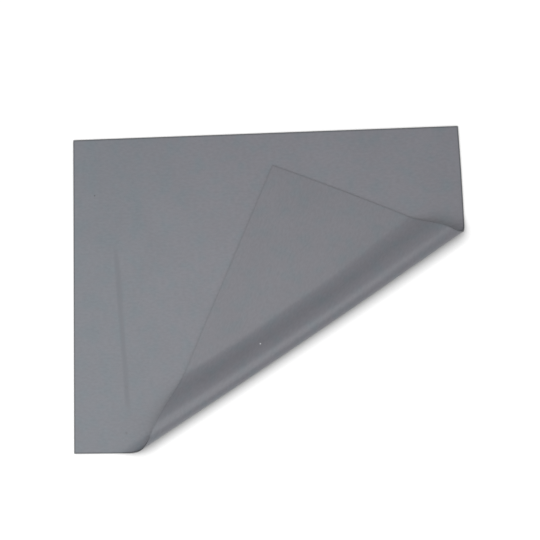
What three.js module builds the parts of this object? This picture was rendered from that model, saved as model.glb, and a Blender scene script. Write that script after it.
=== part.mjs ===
// A soft rubber grip mat, one flat rectangular sheet lying on a level surface,
// with one corner turned over onto its own top face. Millimetres, +Z up.
// The origin is the middle of the mat's footprint, at the surface it lies on:
// +X runs along the long edges, +Y along the short ones. The front right corner,
// at +X and -Y, is the one turned over, towards the back left.
import * as THREE from 'three';
import { mergeVertices } from 'three/addons/utils/BufferGeometryUtils.js';

// The flat sheet as it is cut.
const SHEET_LENGTH = 406;
const SHEET_WIDTH = 330;
const THICKNESS = 1;

// The fold, as the line where the corner would be creased if it was pressed flat. It crosses
// the front edge this far from its left end, and the right edge this far from its back end.
const FOLD_ON_FRONT_EDGE = 80.6;
const FOLD_ON_RIGHT_EDGE = 118.8;

// How the rubber bends. The bending length is the cube root of the sheet's bending
// stiffness over its weight, and sets the size of the roll, which is taken as even along the
// fold. The corner grips where it lands, and its push towards the roll, in weights of one
// bending length, keeps the roll short.
const BENDING_LENGTH = 25.5;
const GRIP_PUSH = 0.8;

// The turned-over corner lies this far above the sheet under it.
const CONTACT_GAP = 0.3;

// How the roll is divided into flat facets: the turn of each, and how finely the curve is
// traced, in bending lengths.
const FACET_TURN = THREE.MathUtils.degToRad(6);
const TRACE_STEP = 0.004;

const rubber = new THREE.MeshStandardMaterial({ color: 0x80838a, roughness: 0.62, metalness: 0 });

// One trace of a heavy sheet from the line where it leaves the surface, up, over and back
// down, in bending lengths. lift is the push of the surface at that line, which the weight
// of as many bending lengths of sheet uses up. The trace stops where the sheet is level again,
// and clears says that it is then above the landing height. It also stops where the sheet
// falls back, comes down at a slope, or has used up the push before it is turned over.
function traceRoll(lift, landingHeight) {
  const points = [{ along: 0, across: 0, height: 0, tilt: 0 }];
  let [along, across, height, tilt, bend] = [0, 0, 0, 0, 0];
  let levelAgain = false;
  const bendRate = (at, angle) => (lift - at) * Math.cos(angle) + GRIP_PUSH * Math.sin(angle);
  while (!levelAgain && tilt >= 0 && (tilt > Math.PI ? height > landingHeight : along < lift)) {
    const half = TRACE_STEP / 2;
    const middleTilt = tilt + bend * half;
    const middleBend = bend + bendRate(along, tilt) * half;
    bend += bendRate(along + half, middleTilt) * TRACE_STEP;
    across += Math.cos(middleTilt) * TRACE_STEP;
    height += Math.sin(middleTilt) * TRACE_STEP;
    along += TRACE_STEP;
    const turnedOver = tilt > Math.PI;
    tilt += middleBend * TRACE_STEP;
    levelAgain = turnedOver && tilt <= Math.PI;
    points.push({ along, across, height, tilt });
  }
  return { points, clears: levelAgain && height > landingHeight };
}

// The roll that lands level: the push is raised until the sheet levels out too high,
// and then narrowed to the one that just brings it down to the landing height.
function landedRoll(landingHeight) {
  const coarseStep = 0.25;
  let enough = 1;
  while (!traceRoll(enough, landingHeight).clears) enough += coarseStep;
  let tooLittle = enough - coarseStep;
  for (let halving = 0; halving < 40; halving += 1) {
    const middle = (tooLittle + enough) / 2;
    if (traceRoll(middle, landingHeight).clears) enough = middle;
    else tooLittle = middle;
  }
  return traceRoll(enough, landingHeight).points;
}

// The roll's section in millimetres, thinned to the lines where one facet meets the next.
// past is where a line lies on the flat sheet and across is where it comes to lie, both
// measured from the fold, so what is turned over lies as far behind it as it lay past it.
function facetedRoll() {
  const pitch = THICKNESS + CONTACT_GAP;
  const traced = landedRoll(pitch / BENDING_LENGTH);
  const kept = [traced[0]];
  for (const point of traced) {
    if (Math.abs(point.tilt - kept.at(-1).tilt) >= FACET_TURN) kept.push(point);
  }
  const landing = { ...traced.at(-1), tilt: Math.PI, height: pitch / BENDING_LENGTH };
  const fold = (landing.along + landing.across) / 2;
  return [...kept, landing].map(({ along, across, height, tilt }) => ({
    past: (along - fold) * BENDING_LENGTH,
    across: (across - fold) * BENDING_LENGTH,
    height: height * BENDING_LENGTH,
    tilt,
  }));
}

// The flat sheet's corners, in order round it, from the middle of the sheet.
const corners = [
  new THREE.Vector2(-SHEET_LENGTH / 2, -SHEET_WIDTH / 2),
  new THREE.Vector2(SHEET_LENGTH / 2, -SHEET_WIDTH / 2),
  new THREE.Vector2(SHEET_LENGTH / 2, SHEET_WIDTH / 2),
  new THREE.Vector2(-SHEET_LENGTH / 2, SHEET_WIDTH / 2),
];

// The fold joins the two edges that it crosses. Every straight line drawn on the sheet
// along it stays straight when the sheet rolls over, so the mat is built from those.
const foldStart = corners[0].clone().add(new THREE.Vector2(FOLD_ON_FRONT_EDGE, 0));
const foldEnd = corners[2].clone().sub(new THREE.Vector2(0, FOLD_ON_RIGHT_EDGE));
const alongFold = foldEnd.clone().sub(foldStart).normalize();
const acrossFold = new THREE.Vector2(alongFold.y, -alongFold.x);
const pastFold = (point) => point.clone().sub(foldStart).dot(acrossFold);

// Where a line parallel to the fold, at a distance past it, enters and leaves the flat
// sheet, measured along the fold.
function reachAlongFold(distance) {
  const places = [];
  corners.forEach((corner, i) => {
    const next = corners[(i + 1) % corners.length];
    const [from, to] = [pastFold(corner), pastFold(next)];
    const share = (distance - from) / (to - from);
    if (share >= 0 && share <= 1) places.push(corner.clone().lerp(next, share).dot(alongFold));
  });
  return [Math.min(...places), Math.max(...places)];
}

// The sheet's section at any distance past the fold: flat, rolling over or turned over.
function sectionAt(past, roll) {
  const landing = roll.at(-1);
  const beyond = past - landing.past;
  if (past <= roll[0].past) return { past, across: past, height: 0, tilt: 0 };
  if (beyond >= 0) return { ...landing, past, across: landing.across - beyond };
  const next = roll.findIndex((station) => station.past > past);
  const [from, to] = [roll[next - 1], roll[next]];
  const share = (past - from.past) / (to.past - from.past);
  const between = (key) => THREE.MathUtils.lerp(from[key], to[key], share);
  return { past, across: between('across'), height: between('height'), tilt: between('tilt') };
}

// The section at every line where the surface or the outline turns, from the corner
// furthest behind the fold to the tip of the turned-over one. One more line, just beyond
// the place where the tip lands, bounds the face that the turned-over corner leaves free.
function sheetStations() {
  const roll = facetedRoll();
  const cornerDistances = corners.map(pastFold);
  const tip = Math.max(...cornerDistances);
  const freeFace = sectionAt(tip, roll).across - CONTACT_GAP;
  return [...cornerDistances, ...roll.map(({ past }) => past), freeFace]
    .filter((past) => past <= tip && past >= Math.min(...cornerDistances))
    .sort((a, b) => a - b)
    .map((past) => sectionAt(past, roll));
}

// A box with one segment between each two stations is wrapped over the roll: its length
// follows the stations, its width the sheet's reach there, its height the thickness.
function matGeometry() {
  const stations = sheetStations();
  const segments = stations.length - 1;
  const geometry = new THREE.BoxGeometry(segments, 1, 1, segments, 1, 1);
  const position = geometry.getAttribute('position');
  for (let i = 0; i < position.count; i += 1) {
    const station = stations[Math.round(position.getX(i) + segments / 2)];
    const [nearEnd, farEnd] = reachAlongFold(station.past);
    const reach = position.getY(i) > 0 ? farEnd : nearEnd;
    const offset = position.getZ(i) * THICKNESS;
    const across = station.across - Math.sin(station.tilt) * offset;
    const height = station.height + Math.cos(station.tilt) * offset + THICKNESS / 2;
    const foot = acrossFold.clone().multiplyScalar(across + foldStart.dot(acrossFold));
    foot.addScaledVector(alongFold, reach);
    position.setXYZ(i, foot.x, foot.y, height);
  }
  return closedSurface(geometry);
}

// The two tip stations have no width, so their faces have no area: they are left out.
function closedSurface(geometry) {
  geometry.deleteAttribute('normal');
  geometry.deleteAttribute('uv');
  const merged = mergeVertices(geometry, 1e-4);
  const index = merged.getIndex().array;
  const kept = [];
  for (let i = 0; i < index.length; i += 3) {
    const [a, b, c] = index.slice(i, i + 3);
    if (a !== b && b !== c && c !== a) kept.push(a, b, c);
  }
  merged.setIndex(kept);
  merged.computeVertexNormals();
  return merged;
}

const gripMat = new THREE.Mesh(matGeometry(), rubber);
gripMat.name = 'grip_mat';

const part = new THREE.Group();
part.add(gripMat);

export default part;
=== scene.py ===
# %% [markdown]
# # A rubber grip mat with one corner turned over
#
# The object is a single piece of stock: a thin, soft, matte grey rubber sheet that lies
# flat, with its front right corner rolled over onto its own top face. Nothing is printed,
# sewn or glued to it, so everything that the eye gets from it comes from three things:
# the shape of the roll, the finish of the rubber, and the light.

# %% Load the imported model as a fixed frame
import math

import bmesh
import bpy
import numpy as np
from mathutils import Euler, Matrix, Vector


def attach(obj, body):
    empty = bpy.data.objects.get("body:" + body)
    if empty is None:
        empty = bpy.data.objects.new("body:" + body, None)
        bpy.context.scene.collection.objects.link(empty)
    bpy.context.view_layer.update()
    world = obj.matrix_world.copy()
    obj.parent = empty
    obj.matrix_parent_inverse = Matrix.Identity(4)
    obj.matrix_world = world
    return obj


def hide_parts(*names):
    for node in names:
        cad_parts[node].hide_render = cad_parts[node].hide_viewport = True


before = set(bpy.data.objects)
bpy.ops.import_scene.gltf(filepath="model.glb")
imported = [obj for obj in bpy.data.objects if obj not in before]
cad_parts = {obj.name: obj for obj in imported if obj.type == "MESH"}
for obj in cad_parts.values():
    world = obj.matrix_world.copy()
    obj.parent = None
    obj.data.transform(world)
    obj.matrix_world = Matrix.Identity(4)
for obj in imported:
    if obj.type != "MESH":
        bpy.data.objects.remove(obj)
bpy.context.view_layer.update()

# %% [markdown]
# ## Sizes
#
# Lengths are in metres, as in the rest of Blender, and MM makes them readable. The sheet is
# described as it is cut, before anything is turned over. The fold is described by the line
# where the corner would be creased if it was pressed flat, as the two places where that line
# crosses the sheet's edges: along the front edge from its left end, and along the right edge
# from its back end.

# %% Driving sizes
MM = 0.001
SHEET_LENGTH = 406 * MM
SHEET_WIDTH = 330 * MM
THICKNESS = 1 * MM
FOLD_ON_FRONT_EDGE = 80.6 * MM
FOLD_ON_RIGHT_EDGE = 118.8 * MM
BENDING_LENGTH = 24.3 * MM
GRIP_PUSH = 0.8
CONTACT_GAP = 0.3 * MM
print("flat sheet, mm:", round(SHEET_LENGTH / MM), "by", round(SHEET_WIDTH / MM))

# %% [markdown]
# ## The camera
#
# It looks almost straight down, a few degrees from the front right. Its place was fitted to
# the mat's outline, so it is written as a turn about the middle of the mat, a distance, and
# how far the middle of the mat lies from the middle of the picture.

# %% Camera
CAMERA_TURN = Euler((math.radians(4.01), math.radians(4.85), math.radians(-1.07)))
CAMERA_DISTANCE = 931.5 * MM
PICTURE_SHIFT = Vector((4.2 * MM, 21.5 * MM, 0))
SENSOR_WIDTH = 36.0
PICTURE_PIXELS = 540
FOCAL_PIXELS = 900

camera_data = bpy.data.cameras.new("camera")
camera_data.sensor_width = SENSOR_WIDTH
camera_data.lens = SENSOR_WIDTH * FOCAL_PIXELS / PICTURE_PIXELS
camera = bpy.data.objects.new("camera", camera_data)
camera.rotation_euler = CAMERA_TURN
camera.location = CAMERA_TURN.to_matrix() @ (PICTURE_SHIFT + Vector((0, 0, CAMERA_DISTANCE)))
bpy.context.scene.collection.objects.link(camera)
bpy.context.scene.camera = camera
print("camera at, mm:", [round(1000 * place) for place in camera.location])

# %% [markdown]
# ## How a soft sheet rolls over
#
# Turned over by hand and let go, the corner makes the roll that its own weight and its own
# grip allow. Seen from the side, the sheet is a beam that carries itself. From the line where
# it leaves the surface, its curvature grows with the lift of the surface there, and each
# further bit of sheet takes some of that lift away. The rubber also grips where it lands, and
# the push of that landing keeps the roll short and high. With lengths counted in bending
# lengths, that is one small equation, so the roll is traced step by step instead of being
# drawn by eye. The lift is then narrowed down until the sheet comes down level at the height
# of the layer below.

# %% Trace the section of the roll
TRACE_STEP = 0.005
LANDING_HEIGHT = (THICKNESS + CONTACT_GAP) / BENDING_LENGTH


def trace_roll(lift):
    """The section as (across, height) points, and whether it levels out too high."""
    points = [(0.0, 0.0)]
    along = across = height = tilt = bend = 0.0
    half = TRACE_STEP / 2
    level_again = False
    goes_on = True
    while goes_on:
        middle_tilt = tilt + bend * half
        middle_bend = bend + half * ((lift - along) * math.cos(tilt) + GRIP_PUSH * math.sin(tilt))
        bend += TRACE_STEP * (
            (lift - along - half) * math.cos(middle_tilt) + GRIP_PUSH * math.sin(middle_tilt)
        )
        across += TRACE_STEP * math.cos(middle_tilt)
        height += TRACE_STEP * math.sin(middle_tilt)
        along += TRACE_STEP
        turned_over = tilt > math.pi
        tilt += TRACE_STEP * middle_bend
        level_again = turned_over and tilt <= math.pi
        points.append((across, height))
        still_pushed = height > LANDING_HEIGHT if tilt > math.pi else along < lift
        goes_on = not level_again and tilt >= 0 and still_pushed
    return points, level_again and height > LANDING_HEIGHT


print("points with a lift of 2:", len(trace_roll(2.0)[0]))

# %% Narrow the lift down to the roll that lands level
COARSE_STEP = 0.25
HALVINGS = 40


def landed_roll():
    """The section whose lift just brings it down level on the layer below."""
    enough = 1.0
    while not trace_roll(enough)[1]:
        enough += COARSE_STEP
    too_little = enough - COARSE_STEP
    for _ in range(HALVINGS):
        middle = (too_little + enough) / 2
        if trace_roll(middle)[1]:
            enough = middle
        else:
            too_little = middle
    return np.array(trace_roll(enough)[0])


section = landed_roll()
sheet_in_roll = TRACE_STEP * (len(section) - 1)
fold_place = (sheet_in_roll + section[-1][0]) / 2
in_mm = BENDING_LENGTH / MM
print("roll height, mm:", round(in_mm * section[:, 1].max(), 1))
print("sheet in the roll, mm:", round(in_mm * sheet_in_roll, 1))

# %% [markdown]
# The traced section becomes a curve object, with a long straight run before the lift line
# and another after the landing. A Sample Curve node can then look up where any point of the
# sheet goes from one number: how far it lies past the fold.

# %% The section as a curve
STRAIGHT_RUN = 20.0


def section_curve():
    """The traced section between its two straight runs, in bending lengths, as a poly curve."""
    landing = section[-1]
    before = [(-STRAIGHT_RUN, 0.0)]
    after = [(landing[0] - STRAIGHT_RUN, landing[1])]
    points = before + [tuple(point) for point in section] + after
    curve = bpy.data.curves.new("roll_section", "CURVE")
    curve.dimensions = "3D"
    spline = curve.splines.new("POLY")
    spline.points.add(len(points) - 1)
    for point, (across, height) in zip(spline.points, points):
        point.co = (across, 0, height, 1)
    curve_object = bpy.data.objects.new("roll_section", curve)
    bpy.context.scene.collection.objects.link(curve_object)
    return curve_object


roll_section = section_curve()
print("section points:", len(roll_section.data.splines[0].points))

# %% [markdown]
# ## The flat sheet
#
# A sheet that rolls over one straight line keeps every line parallel to it straight. So the
# flat sheet is meshed in rows along the fold, close together where the roll will be and wider
# apart where the sheet lies flat. A row ends exactly on the cut edges, and one passes through
# each corner, so the outline stays sharp. The right edge was not cut quite straight: it bows
# out a little, which is added to the finished rows.

# %% Where the fold lies on the flat sheet
half_sheet = Vector((SHEET_LENGTH / 2, SHEET_WIDTH / 2))
fold_start = Vector((-half_sheet.x + FOLD_ON_FRONT_EDGE, -half_sheet.y))
fold_end = Vector((half_sheet.x, half_sheet.y - FOLD_ON_RIGHT_EDGE))
fold_length = (fold_end - fold_start).length
along_fold = (fold_end - fold_start).normalized()
across_fold = Vector((along_fold.y, -along_fold.x))
sheet_corners = [Vector((x * half_sheet.x, y * half_sheet.y)) for x in (-1, 1) for y in (-1, 1)]
corner_distances = [(corner - fold_start).dot(across_fold) for corner in sheet_corners]
fold_turn = math.degrees(along_fold.angle(Vector((1, 0))))
print("fold:", round(fold_length / MM), "mm long, turned", round(fold_turn, 1), "degrees")

# %% Rows along the fold, close together where the roll will be
FLAT_ROW_PITCH = 2.6 * MM
ROLL_ROW_PITCH = 0.9 * MM
ROLL_SWELL = 0.18
ROLL_MARGIN = 8 * MM
roll_reach = BENDING_LENGTH * (1 + ROLL_SWELL)
roll_zone = (
    -fold_place * roll_reach - ROLL_MARGIN,
    (sheet_in_roll - fold_place) * roll_reach + ROLL_MARGIN,
)


def row_distances():
    """How far past the fold each row of the mesh lies."""
    stops = sorted([*corner_distances, *roll_zone])
    rows = []
    for start, end in zip(stops, stops[1:]):
        in_roll = roll_zone[0] <= start < roll_zone[1]
        count = max(1, math.ceil((end - start) / (ROLL_ROW_PITCH if in_roll else FLAT_ROW_PITCH)))
        rows.extend(np.linspace(start, end, count, endpoint=False))
    return rows + [stops[-1]]


print("rows:", len(row_distances()))

# %% Points along each row, from one cut edge to the other
COLUMNS = 150
RIGHT_EDGE_BOW = 1.8 * MM


def row_places(distance):
    """The points of one row, from the edge where it enters the sheet to the other."""
    foot = fold_start + across_fold * distance
    starts = [(-half_sheet[axis] - foot[axis]) / along_fold[axis] for axis in (0, 1)]
    ends = [(half_sheet[axis] - foot[axis]) / along_fold[axis] for axis in (0, 1)]
    start, end = max(starts), max(max(starts), min(ends))
    return [foot + along_fold * reach for reach in np.linspace(start, end, COLUMNS + 1)]


def bowed(place):
    """How far right a point of the true rectangle lies on the sheet as it was cut."""
    to_right = (place.x + half_sheet.x) / SHEET_LENGTH
    return place.x + to_right * RIGHT_EDGE_BOW * (1 - 2 * (place.y / half_sheet.y) ** 2)


print("right edge bows out, mm:", RIGHT_EDGE_BOW / MM)

# %% Mesh the flat sheet
SAME_POINT = 0.001 * MM


def flat_sheet():
    """The flat sheet as one layer of faces that point up, with its own place as its UV map."""
    places = [place for distance in row_distances() for place in row_places(distance)]
    faces = []
    for corner in range(len(places) - COLUMNS - 1):
        if corner % (COLUMNS + 1) < COLUMNS:
            faces.append((corner, corner + 1, corner + COLUMNS + 2, corner + COLUMNS + 1))
    shape = bmesh.new()
    corners = [shape.verts.new((place.x, place.y, 0)) for place in places]
    for face in faces:
        shape.faces.new([corners[i] for i in face])
    bmesh.ops.remove_doubles(shape, verts=shape.verts, dist=SAME_POINT)
    flat_place = shape.loops.layers.uv.new("flat_place")
    for face in shape.faces:
        for loop in face.loops:
            loop[flat_place].uv = loop.vert.co.xy
        if face.normal.z < 0:
            face.normal_flip()
    for vert in shape.verts:
        vert.co.x = bowed(vert.co)
    mesh = bpy.data.meshes.new("flat_sheet")
    shape.to_mesh(mesh)
    shape.free()
    sheet_object = bpy.data.objects.new("flat_sheet", mesh)
    bpy.context.scene.collection.objects.link(sheet_object)
    return sheet_object


sheet = flat_sheet()
print("flat sheet:", len(sheet.data.vertices), "points in", len(row_distances()), "rows")

# %% [markdown]
# ## One function for nodes
#
# Shader trees and geometry trees are both built by adding nodes and linking them. This one
# function does it: keyword arguments set the node's own properties, and the dictionary gives
# its inputs, by name or number, each either another node's output or a plain value.

# %% Add one node to a tree
def add(tree, kind, inputs=None, **settings):
    """Adds one node, sets its properties, then links or sets its inputs."""
    node = tree.nodes.new(kind)
    for name, value in settings.items():
        setattr(node, name, value)
    for key, value in (inputs or {}).items():
        named = [socket for socket in node.inputs if socket.enabled and socket.name == key]
        socket = named[0] if named else node.inputs[key]
        if isinstance(value, bpy.types.NodeSocket):
            tree.links.new(value, socket)
        else:
            socket.default_value = value
    return node


def linear(hex_colour):
    """An sRGB hex colour as the linear red, green, blue and alpha that a shader reads."""
    channels = [int(hex_colour[i:i + 2], 16) / 255 for i in (1, 3, 5)]
    curved = [c / 12.92 if c <= 0.04045 else ((c + 0.055) / 1.055) ** 2.4 for c in channels]
    return (*curved, 1.0)


print("mid grey, linear:", round(linear("#808080")[0], 3))

# %% Settings that come back
# A Map Range node eases in and out with SOFT. A Mix node blends colours with COLOURS, and
# MIXED_COLOUR is then the number of its output.
SOFT = {"interpolation_type": "SMOOTHSTEP"}
COLOURS = {"data_type": "RGBA"}
MIXED_COLOUR = 2
print("soft:", SOFT["interpolation_type"], "colours:", COLOURS["data_type"])

# %% [markdown]
# ## Calendered rubber
#
# The mat is vulcanised rubber, squeezed into a sheet between polished rollers. That gives a
# smooth matte face with a faint satin sheen, a slightly cloudy grey from talc and wax that
# rise to the surface, and a fine grain. The pattern reads the flat sheet's own place, so it
# rolls over with the corner instead of sliding across it. The grain is drawn coarser than
# the real one, which is too fine to show at this distance, and twice as long as it is wide,
# because the rollers drag it out.

# %% Tint, clouds and grain
RUBBER_COOL = "#60666c"
RUBBER_WARM = "#66666c"
TINT_SIZE = 16 * MM
CLOUD_SIZE = 45 * MM
GRAIN_SIZE = 2.2 * MM
GRAIN_STRETCH = (0.5, 1.0, 1.0)
GRAIN_SHARE = 2.0
GRAIN_HEIGHT = 0.02 * MM

rubber = bpy.data.materials.new("calendered_rubber")
rubber.use_nodes = True
finish = rubber.node_tree
finish.nodes.clear()
place = add(finish, "ShaderNodeUVMap", uv_map="flat_place").outputs["UV"]
flat_parts = add(finish, "ShaderNodeSeparateXYZ", {0: place}).outputs
tint = add(finish, "ShaderNodeTexNoise", {"Vector": place, "Scale": 1 / TINT_SIZE, "Detail": 2.0})
cloud = add(
    finish, "ShaderNodeTexNoise", {"Vector": place, "Scale": 1 / CLOUD_SIZE, "Detail": 4.0},
)
rolled_out = add(
    finish, "ShaderNodeVectorMath", {0: place, 1: GRAIN_STRETCH}, operation="MULTIPLY",
).outputs[0]
grain = add(
    finish, "ShaderNodeTexNoise", {"Vector": rolled_out, "Scale": 1 / GRAIN_SIZE, "Detail": 2.0},
)
print("cloud, mm:", CLOUD_SIZE / MM, "grain, mm:", GRAIN_SIZE / MM)

# %% [markdown]
# The grey leans a little to blue-green in small patches, more of them towards the left end.
# A Map Range node turns a noise into the share of one colour or the other.

# %% The tint of the upper face
TINT_NOISE_RANGE = (0.4, 0.8)
COOLER_AT_LEFT_END = 0.45

tint_patches = add(
    finish, "ShaderNodeMapRange",
    {
        "Value": tint.outputs["Fac"],
        "From Min": TINT_NOISE_RANGE[0], "From Max": TINT_NOISE_RANGE[1],
    },
    **SOFT,
).outputs["Result"]
towards_left = add(
    finish, "ShaderNodeMapRange",
    {
        "Value": flat_parts["X"], "From Min": -half_sheet.x, "From Max": 0.0,
        "To Min": COOLER_AT_LEFT_END, "To Max": 0.0,
    },
    **SOFT,
).outputs["Result"]
coolness = add(
    finish, "ShaderNodeMath", {0: tint_patches, 1: towards_left}, operation="ADD",
).outputs[0]
tinted = add(
    finish, "ShaderNodeMix",
    {"Factor": coolness, "A": linear(RUBBER_WARM), "B": linear(RUBBER_COOL)}, **COLOURS,
).outputs[MIXED_COLOUR]
print("tint patches, mm:", TINT_SIZE / MM)

# %% [markdown]
# The two faces of the sheet don't look quite the same: the one that the turned-over corner
# shows is a little darker. Both get the same clouds and grain, as a change of shade.

# %% The shade of both faces
UNDERSIDE_SHADE = 0.91
CLOUD_NOISE_RANGE = (0.9, 2.1)
CLOUD_SHADE_RANGE = (0.94, 1.06)

is_underside = add(finish, "ShaderNodeAttribute", attribute_name="underside").outputs["Fac"]
side_shade = add(
    finish, "ShaderNodeMapRange",
    {"Value": is_underside, "To Min": 1.0, "To Max": UNDERSIDE_SHADE}, **SOFT,
).outputs["Result"]
cloudiness = add(
    finish, "ShaderNodeMath",
    {0: grain.outputs["Fac"], 1: GRAIN_SHARE, 2: cloud.outputs["Fac"]},
    operation="MULTIPLY_ADD",
).outputs[0]
cloud_shade = add(
    finish, "ShaderNodeMapRange",
    {
        "Value": cloudiness,
        "From Min": CLOUD_NOISE_RANGE[0], "From Max": CLOUD_NOISE_RANGE[1],
        "To Min": CLOUD_SHADE_RANGE[0], "To Max": CLOUD_SHADE_RANGE[1],
    },
    **SOFT,
).outputs["Result"]
shade = add(
    finish, "ShaderNodeMath", {0: side_shade, 1: cloud_shade}, operation="MULTIPLY",
).outputs[0]
clouded = add(
    finish, "ShaderNodeHueSaturation", {"Value": shade, "Color": tinted},
).outputs["Color"]
print("shade of the underside:", UNDERSIDE_SHADE)

# %% [markdown]
# Along its cut edges the sheet has a thin dark line of painted shade, for the shade of a slightly
# rounded cut edge and the contact shadow beside it. It is painted strongly on the upper face, and
# faintly on the other one.

# %% The painted shade along the cut edges
EDGE_SHADE_GREY = "#333538"
EDGE_SHADE_WIDTH = 1.8 * MM
EDGE_SHADE_BELOW = 0.15

to_edges = []
for axis, half in (("X", half_sheet.x), ("Y", half_sheet.y)):
    from_middle = add(finish, "ShaderNodeMath", {0: flat_parts[axis]}, operation="ABSOLUTE")
    to_side = add(
        finish, "ShaderNodeMath", {0: half, 1: from_middle.outputs[0]}, operation="SUBTRACT",
    )
    to_edges.append(to_side.outputs[0])
to_edge = add(
    finish, "ShaderNodeMath", {0: to_edges[0], 1: to_edges[1]}, operation="MINIMUM",
).outputs[0]
edge_shade_line = add(
    finish, "ShaderNodeMapRange",
    {"Value": to_edge, "From Max": EDGE_SHADE_WIDTH, "To Min": 1.0, "To Max": 0.0}, **SOFT,
).outputs["Result"]
edge_shade_strength = add(
    finish, "ShaderNodeMapRange",
    {"Value": is_underside, "To Min": 1.0, "To Max": EDGE_SHADE_BELOW}, **SOFT,
).outputs["Result"]
edge_shade_share = add(
    finish, "ShaderNodeMath", {0: edge_shade_line, 1: edge_shade_strength}, operation="MULTIPLY",
).outputs[0]
# Painted shade: the colour is mixed towards a dark grey within a couple of millimetres of the cut
# edges.
edge_shaded = add(
    finish, "ShaderNodeMix", {"Factor": edge_shade_share, "A": clouded, "B": linear(EDGE_SHADE_GREY)}, **COLOURS,
).outputs[MIXED_COLOUR]
print("cut line, mm:", EDGE_SHADE_WIDTH / MM)

# %% [markdown]
# Near its left end the sheet has a faint crease, as from being folded up. It runs from the
# middle almost to the front edge, leaning a little. It is only a fraction of a millimetre
# high, so it is relief in the finish, like the grain, and not in the mesh. Along it the colour
# is also painted darker, as painted shade in the crease that the low relief alone doesn't give.

# %% How far each point lies from the crease
CREASE_LEAN = (1.0, 0.07, 0.0)
CREASE_AT = -154 * MM
CREASE_WANDER = 2 * MM

across_crease = add(
    finish, "ShaderNodeVectorMath", {0: place, 1: CREASE_LEAN}, operation="DOT_PRODUCT",
).outputs["Value"]
wandering = add(
    finish, "ShaderNodeMath",
    {0: cloud.outputs["Fac"], 1: CREASE_WANDER, 2: across_crease},
    operation="MULTIPLY_ADD",
).outputs[0]
crease_centre = CREASE_AT + CREASE_WANDER / 2
off_crease = add(
    finish, "ShaderNodeMath", {0: wandering, 1: crease_centre}, operation="SUBTRACT",
).outputs[0]
crease_side = add(finish, "ShaderNodeMath", {0: off_crease}, operation="ABSOLUTE").outputs[0]
print("crease, mm from the middle:", CREASE_AT / MM)

# %% The crease, faded out at both ends
CREASE_WIDTH = 8 * MM
CREASE_HEIGHT = 0.35 * MM
CREASE_SHADE_GREY = "#5d6066"
CREASE_ENDS = (-132 * MM, 55 * MM)
CREASE_FADE = 25 * MM

crease_line = add(
    finish, "ShaderNodeMapRange",
    {"Value": crease_side, "From Max": CREASE_WIDTH / 2, "To Min": 1.0, "To Max": 0.0}, **SOFT,
).outputs["Result"]
front_fade = add(
    finish, "ShaderNodeMapRange",
    {
        "Value": flat_parts["Y"],
        "From Min": CREASE_ENDS[0], "From Max": CREASE_ENDS[0] + CREASE_FADE,
    },
    **SOFT,
).outputs["Result"]
back_fade = add(
    finish, "ShaderNodeMapRange",
    {
        "Value": flat_parts["Y"],
        "From Min": CREASE_ENDS[1] - CREASE_FADE, "From Max": CREASE_ENDS[1],
        "To Min": 1.0, "To Max": 0.0,
    },
    **SOFT,
).outputs["Result"]
both_fades = add(
    finish, "ShaderNodeMath", {0: front_fade, 1: back_fade}, operation="MULTIPLY",
).outputs[0]
crease = add(
    finish, "ShaderNodeMath", {0: crease_line, 1: both_fades}, operation="MULTIPLY",
).outputs[0]
# Painted shade: the colour is mixed darker along the crease.
crease_shaded = add(
    finish, "ShaderNodeMix", {"Factor": crease, "A": edge_shaded, "B": linear(CREASE_SHADE_GREY)}, **COLOURS,
).outputs[MIXED_COLOUR]
crease_rise = add(
    finish, "ShaderNodeMath", {0: crease, 1: CREASE_HEIGHT}, operation="MULTIPLY",
).outputs[0]
print("crease, mm:", CREASE_WIDTH / MM, "wide,", CREASE_HEIGHT / MM, "high")

# %% [markdown]
# A few small spots sit on it here and there, three darker and one light. Each is a soft round
# spot of colour at its own place on the flat sheet.

# %% Specks
SPECKS = [
    ((-180.2 * MM, 104.8 * MM, 0), 1.2 * MM, "#4a4b4e"),
    ((-147.5 * MM, -97.2 * MM, 0), 2.0 * MM, "#5c5e62"),
    ((-147.5 * MM, -144.4 * MM, 0), 2.0 * MM, "#5a5c60"),
    ((24.1 * MM, -100.6 * MM, 0), 0.9 * MM, "#d8d9dc"),
]
colour = crease_shaded
for speck_place, radius, speck_colour in SPECKS:
    off_speck = add(
        finish, "ShaderNodeVectorMath", {0: place, 1: speck_place}, operation="DISTANCE",
    ).outputs["Value"]
    speck = add(
        finish, "ShaderNodeMapRange",
        {
            "Value": off_speck,
            "From Min": radius / 3, "From Max": radius, "To Min": 1.0, "To Max": 0.0,
        },
        **SOFT,
    ).outputs["Result"]
    colour = add(
        finish, "ShaderNodeMix",
        {"Factor": speck, "A": colour, "B": linear(speck_colour)}, **COLOURS,
    ).outputs[MIXED_COLOUR]
print("specks:", len(SPECKS))

# %% [markdown]
# The relief is in metres, so the bump node takes it as it is. Rubber has an index of
# refraction of about 1.5, and the rollers leave it half matte.

# %% The finished rubber
RUBBER_ROUGHNESS = 0.4
RUBBER_IOR = 1.5

relief = add(
    finish, "ShaderNodeMath",
    {0: grain.outputs["Fac"], 1: GRAIN_HEIGHT, 2: crease_rise},
    operation="MULTIPLY_ADD",
).outputs[0]
bump = add(finish, "ShaderNodeBump", {"Height": relief, "Distance": 1.0, "Strength": 1.0})
skin = add(
    finish, "ShaderNodeBsdfPrincipled",
    {
        "Base Color": colour, "Roughness": RUBBER_ROUGHNESS, "IOR": RUBBER_IOR,
        "Normal": bump.outputs["Normal"],
    },
)
add(finish, "ShaderNodeOutputMaterial", {"Surface": skin.outputs["BSDF"]})
print("finish nodes:", len(finish.nodes))

# %% [markdown]
# ## Rolling the sheet over
#
# The tree takes the flat layer, finds how far each point lies past the fold and along it,
# looks its place up on the section, and puts it there. The roll isn't equally large
# everywhere: it swells towards both ends, where nothing beyond the cut edges holds it in, so
# a curve says how much larger the section is at each place along the fold.

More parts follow.
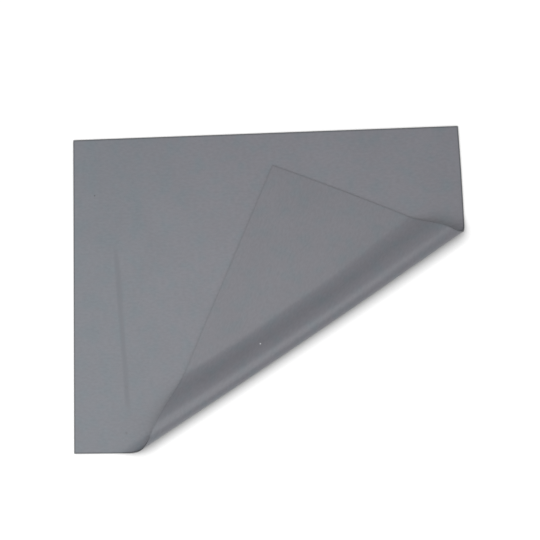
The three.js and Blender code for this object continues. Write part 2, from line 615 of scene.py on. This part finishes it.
# %% The tree's inputs
roll_over = bpy.data.node_groups.new("roll_over", "GeometryNodeTree")
TREE_INPUTS = {
    "Geometry": "NodeSocketGeometry",
    "Section": "NodeSocketObject",
    "Fold Start": "NodeSocketVector",
    "Along Fold": "NodeSocketVector",
    "Across Fold": "NodeSocketVector",
    "Fold Length": "NodeSocketFloat",
    "Fold Place": "NodeSocketFloat",
    "Bending Length": "NodeSocketFloat",
    "Roll Swell": "NodeSocketFloat",
    "Wave Height": "NodeSocketFloat",
    "Thickness": "NodeSocketFloat",
    "Rubber": "NodeSocketMaterial",
}
for name, kind in TREE_INPUTS.items():
    roll_over.interface.new_socket(name, in_out="INPUT", socket_type=kind)
roll_over.interface.new_socket("Geometry", in_out="OUTPUT", socket_type="NodeSocketGeometry")
given = add(roll_over, "NodeGroupInput").outputs
print("tree inputs:", ", ".join(TREE_INPUTS))

# %% Where each point lies, seen from the fold
flat = add(roll_over, "GeometryNodeInputPosition").outputs["Position"]
from_start = add(
    roll_over, "ShaderNodeVectorMath", {0: flat, 1: given["Fold Start"]}, operation="SUBTRACT",
)
offset = from_start.outputs[0]
past = add(
    roll_over, "ShaderNodeVectorMath",
    {0: offset, 1: given["Across Fold"]},
    operation="DOT_PRODUCT",
).outputs["Value"]
reach = add(
    roll_over, "ShaderNodeVectorMath",
    {0: offset, 1: given["Along Fold"]},
    operation="DOT_PRODUCT",
).outputs["Value"]
print("tree nodes so far:", len(roll_over.nodes))

# %% How large the roll is there
SWELL_ALONG_FOLD = [
    (0.0, 1.0), (0.1, 0.8), (0.16, 0.6), (0.22, 0.4), (0.28, 0.2), (0.36, 0.08), (0.46, 0.0),
    (0.62, 0.0), (0.7, 0.12), (0.8, 0.42), (0.88, 0.7), (0.95, 0.9), (1.0, 1.0),
]
share = add(
    roll_over, "ShaderNodeMath", {0: reach, 1: given["Fold Length"]}, operation="DIVIDE",
).outputs[0]
swell_curve = add(roll_over, "ShaderNodeFloatCurve", {"Value": share})
swell_points = swell_curve.mapping.curves[0].points
while len(swell_points) < len(SWELL_ALONG_FOLD):
    swell_points.new(0.5, 0.5)
for point, where in zip(swell_points, SWELL_ALONG_FOLD):
    point.location = where
swell_curve.mapping.update()
swell = add(
    roll_over, "ShaderNodeMath", {0: swell_curve.outputs[0], 1: given["Roll Swell"], 2: 1.0},
    operation="MULTIPLY_ADD",
).outputs[0]
size = add(
    roll_over, "ShaderNodeMath", {0: swell, 1: given["Bending Length"]}, operation="MULTIPLY",
).outputs[0]
print("roll size, mm:", BENDING_LENGTH / MM, "to", round(roll_reach / MM, 1))

# %% [markdown]
# The part of the sheet that lies flat isn't quite flat. Beside the crease, it stands off the
# surface in a few low waves, long from back to front. A stretched noise gives their height,
# and a soft frame around the place keeps them away from the edges and from the roll.

# %% How high the low waves stand
WAVE_HEIGHT = 1.0 * MM
WAVE_STRETCH = (1 / (26 * MM), 1 / (110 * MM), 0.0)
WAVES_MIDDLE = Vector((-138 * MM, 28 * MM, 0))
WAVES_REACH = (1 / (34 * MM), 1 / (72 * MM), 0.0)
FULL_HEIGHT_WITHIN = 0.4
WAVE_NOISE_RANGE = (0.35, 0.65)

stretched = add(
    roll_over, "ShaderNodeVectorMath", {0: flat, 1: WAVE_STRETCH}, operation="MULTIPLY",
).outputs[0]
wave_noise = add(
    roll_over, "ShaderNodeTexNoise", {"Vector": stretched, "Scale": 1.0, "Detail": 1.0},
)
from_waves = add(
    roll_over, "ShaderNodeVectorMath", {0: flat, 1: WAVES_MIDDLE}, operation="SUBTRACT",
).outputs[0]
framed = add(
    roll_over, "ShaderNodeVectorMath", {0: from_waves, 1: WAVES_REACH}, operation="MULTIPLY",
).outputs[0]
out_of_waves = add(
    roll_over, "ShaderNodeVectorMath", {0: framed}, operation="LENGTH",
).outputs["Value"]
wave_share = add(
    roll_over, "ShaderNodeMapRange",
    {"Value": out_of_waves, "From Min": FULL_HEIGHT_WITHIN, "To Min": 1.0, "To Max": 0.0},
    **SOFT,
).outputs["Result"]
wave_shape = add(
    roll_over, "ShaderNodeMapRange",
    {
        "Value": wave_noise.outputs[0],
        "From Min": WAVE_NOISE_RANGE[0], "From Max": WAVE_NOISE_RANGE[1],
    },
    **SOFT,
).outputs["Result"]
wave = add(
    roll_over, "ShaderNodeMath", {0: wave_share, 1: wave_shape}, operation="MULTIPLY",
).outputs[0]
wave_rise = add(
    roll_over, "ShaderNodeMath", {0: wave, 1: given["Wave Height"]}, operation="MULTIPLY",
).outputs[0]
print("waves, mm:", WAVE_HEIGHT / MM, "high at most")

# %% [markdown]
# The section is in bending lengths, so a point's distance past the fold is divided by the
# size of the roll there, looked up, and multiplied back. The roll's two directions, up and
# across the fold, then give the point its place.

# %% Look the section up
in_bends = add(roll_over, "ShaderNodeMath", {0: past, 1: size}, operation="DIVIDE").outputs[0]
past_lift = add(
    roll_over, "ShaderNodeMath", {0: in_bends, 1: given["Fold Place"]}, operation="ADD",
).outputs[0]
curve_length = add(
    roll_over, "ShaderNodeMath", {0: past_lift, 1: STRAIGHT_RUN}, operation="ADD",
).outputs[0]
section_geometry = add(
    roll_over, "GeometryNodeObjectInfo", {"Object": given["Section"]},
).outputs["Geometry"]
looked_up = add(
    roll_over, "GeometryNodeSampleCurve",
    {"Curves": section_geometry, "Length": curve_length},
    mode="LENGTH",
).outputs["Position"]
lift_to_fold = add(roll_over, "ShaderNodeCombineXYZ", {"X": given["Fold Place"]}).outputs[0]
from_fold = add(
    roll_over, "ShaderNodeVectorMath", {0: looked_up, 1: lift_to_fold}, operation="SUBTRACT",
)
scaled = add(
    roll_over, "ShaderNodeVectorMath",
    {0: from_fold.outputs[0], "Scale": size},
    operation="SCALE",
)
parts = add(roll_over, "ShaderNodeSeparateXYZ", {0: scaled.outputs[0]}).outputs
print("tree nodes so far:", len(roll_over.nodes))

# %% Put the point there
rise = add(
    roll_over, "ShaderNodeMath",
    {0: given["Thickness"], 1: 0.5, 2: parts["Z"]},
    operation="MULTIPLY_ADD",
)
with_waves = add(
    roll_over, "ShaderNodeMath", {0: rise.outputs[0], 1: wave_rise}, operation="ADD",
).outputs[0]
upwards = add(roll_over, "ShaderNodeCombineXYZ", {"Z": with_waves}).outputs[0]
sideways = add(
    roll_over, "ShaderNodeVectorMath",
    {0: given["Across Fold"], "Scale": parts["X"]},
    operation="SCALE",
)
lengthways = add(
    roll_over, "ShaderNodeVectorMath",
    {0: given["Along Fold"], "Scale": reach},
    operation="SCALE",
)
on_plan = add(
    roll_over, "ShaderNodeVectorMath",
    {0: sideways.outputs[0], 1: lengthways.outputs[0]},
    operation="ADD",
)
on_sheet = add(
    roll_over, "ShaderNodeVectorMath",
    {0: on_plan.outputs[0], 1: given["Fold Start"]},
    operation="ADD",
)
rolled_place = add(
    roll_over, "ShaderNodeVectorMath", {0: on_sheet.outputs[0], 1: upwards}, operation="ADD",
)
rolled = add(
    roll_over, "GeometryNodeSetPosition",
    {"Geometry": given["Geometry"], "Position": rolled_place.outputs[0]},
).outputs[0]
print("tree nodes so far:", len(roll_over.nodes))

# %% [markdown]
# The layer now lies in the middle of the rubber. It is moved down by half the thickness and
# extruded back up by all of it, and the layer left at the bottom is flipped and joined on.

# %% Give it thickness, in the same tree
MERGED_WITHIN = 0.01 * MM

normal = add(roll_over, "GeometryNodeInputNormal").outputs["Normal"]
half_down = add(
    roll_over, "ShaderNodeMath", {0: given["Thickness"], 1: -0.5}, operation="MULTIPLY",
).outputs[0]
downwards = add(
    roll_over, "ShaderNodeVectorMath", {0: normal, "Scale": half_down}, operation="SCALE",
).outputs[0]
lower_face = add(
    roll_over, "GeometryNodeSetPosition", {"Geometry": rolled, "Offset": downwards},
).outputs[0]
upper_face = add(
    roll_over, "GeometryNodeExtrudeMesh",
    {"Mesh": lower_face, "Offset Scale": given["Thickness"], "Individual": False},
    mode="FACES",
)
flipped = add(roll_over, "GeometryNodeFlipFaces", {"Mesh": lower_face}).outputs[0]
marked = add(
    roll_over, "GeometryNodeStoreNamedAttribute",
    {"Geometry": flipped, "Name": "underside", "Value": 1.0}, data_type="FLOAT", domain="FACE",
).outputs[0]
joined = add(roll_over, "GeometryNodeJoinGeometry")
roll_over.links.new(marked, joined.inputs[0])
roll_over.links.new(upper_face.outputs["Mesh"], joined.inputs[0])
solid = add(
    roll_over, "GeometryNodeMergeByDistance",
    {"Geometry": joined.outputs[0], "Distance": MERGED_WITHIN},
).outputs[0]
print("tree nodes so far:", len(roll_over.nodes))

# %% [markdown]
# The faces are shaded smooth, but the sharp cut edges stay sharp. Then the tree ends, as any
# tree whose result is exported, with real geometry and its material.

# %% Shade, realize and dress it, in the same tree
CUT_EDGE_ANGLE = math.radians(40)
edge_angle = add(roll_over, "GeometryNodeInputMeshEdgeAngle").outputs["Unsigned Angle"]
is_smooth = add(
    roll_over, "FunctionNodeCompare", {0: edge_angle, 1: CUT_EDGE_ANGLE},
    data_type="FLOAT", operation="LESS_THAN",
)
smooth_faces = add(
    roll_over, "GeometryNodeSetShadeSmooth",
    {"Geometry": solid, "Shade Smooth": True},
    domain="FACE",
).outputs[0]
smooth = add(
    roll_over, "GeometryNodeSetShadeSmooth",
    {"Geometry": smooth_faces, "Shade Smooth": is_smooth.outputs[0]}, domain="EDGE",
).outputs[0]
realized = add(roll_over, "GeometryNodeRealizeInstances", {"Geometry": smooth}).outputs[0]
dressed = add(
    roll_over, "GeometryNodeSetMaterial", {"Geometry": realized, "Material": given["Rubber"]},
).outputs[0]
add(roll_over, "NodeGroupOutput", {0: dressed})
print("tree nodes:", len(roll_over.nodes))

# %% [markdown]
# The tree is run once and its result is kept as a plain mesh, because the export reads meshes.
# The flat sheet and the section have then done their work and are removed.

# %% Run the tree and keep its result as a plain mesh
INPUT_VALUES = {
    "Section": roll_section,
    "Fold Start": (*fold_start, 0),
    "Along Fold": (*along_fold, 0),
    "Across Fold": (*across_fold, 0),
    "Fold Length": fold_length,
    "Fold Place": fold_place,
    "Bending Length": BENDING_LENGTH,
    "Roll Swell": ROLL_SWELL,
    "Wave Height": WAVE_HEIGHT,
    "Thickness": THICKNESS,
    "Rubber": rubber,
}
modifier = sheet.modifiers.new("roll_over", "NODES")
modifier.node_group = roll_over
for item in roll_over.interface.items_tree:
    if item.in_out == "INPUT" and item.name in INPUT_VALUES:
        modifier[item.identifier] = INPUT_VALUES[item.name]
evaluated = sheet.evaluated_get(bpy.context.evaluated_depsgraph_get())
mat_mesh = bpy.data.meshes.new_from_object(evaluated)
mat_mesh.name = "rubber_sheet"
mat = bpy.data.objects.new("rubber_sheet", mat_mesh)
bpy.context.scene.collection.objects.link(mat)
for helper in (sheet, roll_section):
    bpy.data.objects.remove(helper)

shape = bmesh.new()
shape.from_mesh(mat_mesh)
open_edges = sum(not edge.is_manifold for edge in shape.edges)
print("mat:", len(shape.faces), "faces,", open_edges, "open edges")
print("volume, cm3:", round(shape.calc_volume() * 1e6, 1))
shape.free()

# %% [markdown]
# ## Floor and light
#
# The mat is photographed as goods are: on a white sweep, under one large soft light overhead
# and with white all round. The big light stands a little towards the front left, so that side
# of the mat is the brightest and the slope behind the roll, which faces away, goes dark.
#
# The paper gets darker within a centimetre or so of the mat, where the roll hides the room
# from it. The light alone makes that shade too weak, so an Ambient Occlusion node deepens it.

# %% Floor
PAPER_WHITE = "#f4f4f4"
PAPER_SHADE = "#202020"
CONTACT_SHADE = 15 * MM
FLOOR_SIZE = 8.0
FLOOR_DROP = 0.05 * MM
PAPER_ROUGHNESS = 0.9

half_floor = FLOOR_SIZE / 2
signs = [(-1, -1), (1, -1), (1, 1), (-1, 1)]
floor_corners = [(x * half_floor, y * half_floor, -FLOOR_DROP) for x, y in signs]
floor_mesh = bpy.data.meshes.new("floor")
floor_mesh.from_pydata(floor_corners, [], [(0, 1, 2, 3)])
floor = bpy.data.objects.new("floor", floor_mesh)
bpy.context.scene.collection.objects.link(floor)
print("floor, m:", FLOOR_SIZE)

# %% White paper, darker beside the mat
paper = bpy.data.materials.new("white_paper_sweep")
paper.use_nodes = True
sweep = paper.node_tree
sweep.nodes.clear()
nearby = add(sweep, "ShaderNodeAmbientOcclusion", {"Distance": CONTACT_SHADE})
paper_colour = add(
    sweep, "ShaderNodeMix",
    {"Factor": nearby.outputs["AO"], "A": linear(PAPER_SHADE), "B": linear(PAPER_WHITE)},
    **COLOURS,
).outputs[MIXED_COLOUR]
face = add(
    sweep, "ShaderNodeBsdfPrincipled",
    {"Base Color": paper_colour, "Roughness": PAPER_ROUGHNESS},
)
add(sweep, "ShaderNodeOutputMaterial", {"Surface": face.outputs["BSDF"]})
floor_mesh.materials.append(paper)
print("contact shade, mm:", CONTACT_SHADE / MM)

# %% [markdown]
# The room is an even white, which fills the shade under the roll. One large light hangs
# overhead, so the roll has a broad bright line along its top and no sharp shadow.

# %% The room
ROOM_LIGHT = 0.83
world = bpy.data.worlds.new("white_room")
world.use_nodes = True
world.node_tree.nodes["Background"].inputs["Color"].default_value = linear("#ffffff")
world.node_tree.nodes["Background"].inputs["Strength"].default_value = ROOM_LIGHT
bpy.context.scene.world = world
print("room light:", ROOM_LIGHT)

# %% The overhead light
LIGHT_PLACE = (-0.32, -0.4, 1.1)
LIGHT_SIZE = 1.4
LIGHT_POWER = 10.5


def soft_light(name, place, size, power):
    """A square light that hangs level and shines straight down."""
    data = bpy.data.lights.new(name, "AREA")
    data.shape = "SQUARE"
    data.size = size
    data.energy = power
    light = bpy.data.objects.new(name, data)
    light.location = place
    light.visible_camera = False
    bpy.context.scene.collection.objects.link(light)
    return light


overhead_light = soft_light("overhead_light", LIGHT_PLACE, LIGHT_SIZE, LIGHT_POWER)
bpy.context.scene.view_settings.view_transform = "Standard"
print("light, m:", LIGHT_PLACE, "watts:", overhead_light.data.energy)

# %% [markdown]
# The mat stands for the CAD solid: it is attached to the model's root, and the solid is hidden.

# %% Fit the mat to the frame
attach(mat, "root")
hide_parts("grip_mat")
print("fitted:", mat.name)
